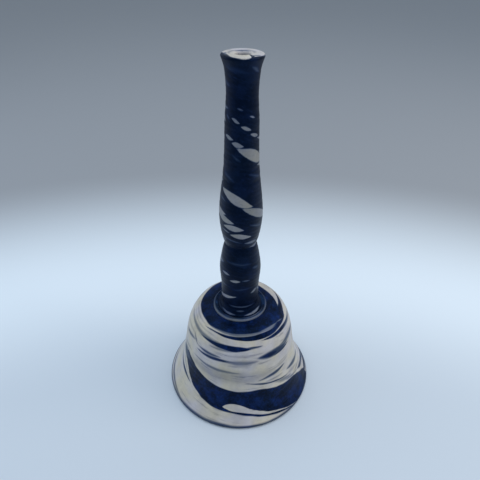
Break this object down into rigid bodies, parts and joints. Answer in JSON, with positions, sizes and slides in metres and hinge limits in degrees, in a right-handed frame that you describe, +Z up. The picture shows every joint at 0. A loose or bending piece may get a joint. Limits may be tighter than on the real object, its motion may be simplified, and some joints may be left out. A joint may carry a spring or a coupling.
{
  "type": "porcelain hand bell",
  "caption": "Thrown porcelain hand bell with marbled clay, a hollow waisted stem for a grip and a ball clapper hung on wire inside the flared dome.",
  "frame": {"origin": "centre of the mouth, in the plane that the bell stands on", "axes": "+Z up along the bell's axis, from the mouth to the stem's lip; +X to the right of the bell's front, +Y to its back"},
  "size_m": [0.09, 0.09, 0.2],
  "materials": {
    "marbled_porcelain": "satin",
    "clapper_porcelain": "satin",
    "bisque_bead": "matte",
    "kiln_wire": "satin"
  },
  "bodies": {
    "bell": {"bell_dome": "marbled_porcelain", "stem": "marbled_porcelain", "joint_collar": "marbled_porcelain"},
    "hanger": {"hanger_wire": "kiln_wire", "stop_bead": "bisque_bead"},
    "clapper": {"clapper_wire": "kiln_wire"},
    "ball": {"clapper_ball": "clapper_porcelain"}
  },
  "joints": [
    {"name": "hanger_turn", "type": "hinge", "parent": "bell", "child": "hanger", "pos_m": [0, 0, 0.0596], "axis": [0, 0, 1], "continuous": true},
    {"name": "clapper_swing", "type": "hinge", "parent": "hanger", "child": "clapper", "pos_m": [0, 0, 0.046], "axis": [0, 1, 0], "range_deg": [-43, 43]},
    {"name": "ball_turn", "type": "hinge", "parent": "clapper", "child": "ball", "pos_m": [0, 0, 0.017], "axis": [0, 0, 1], "continuous": true}
  ]
}
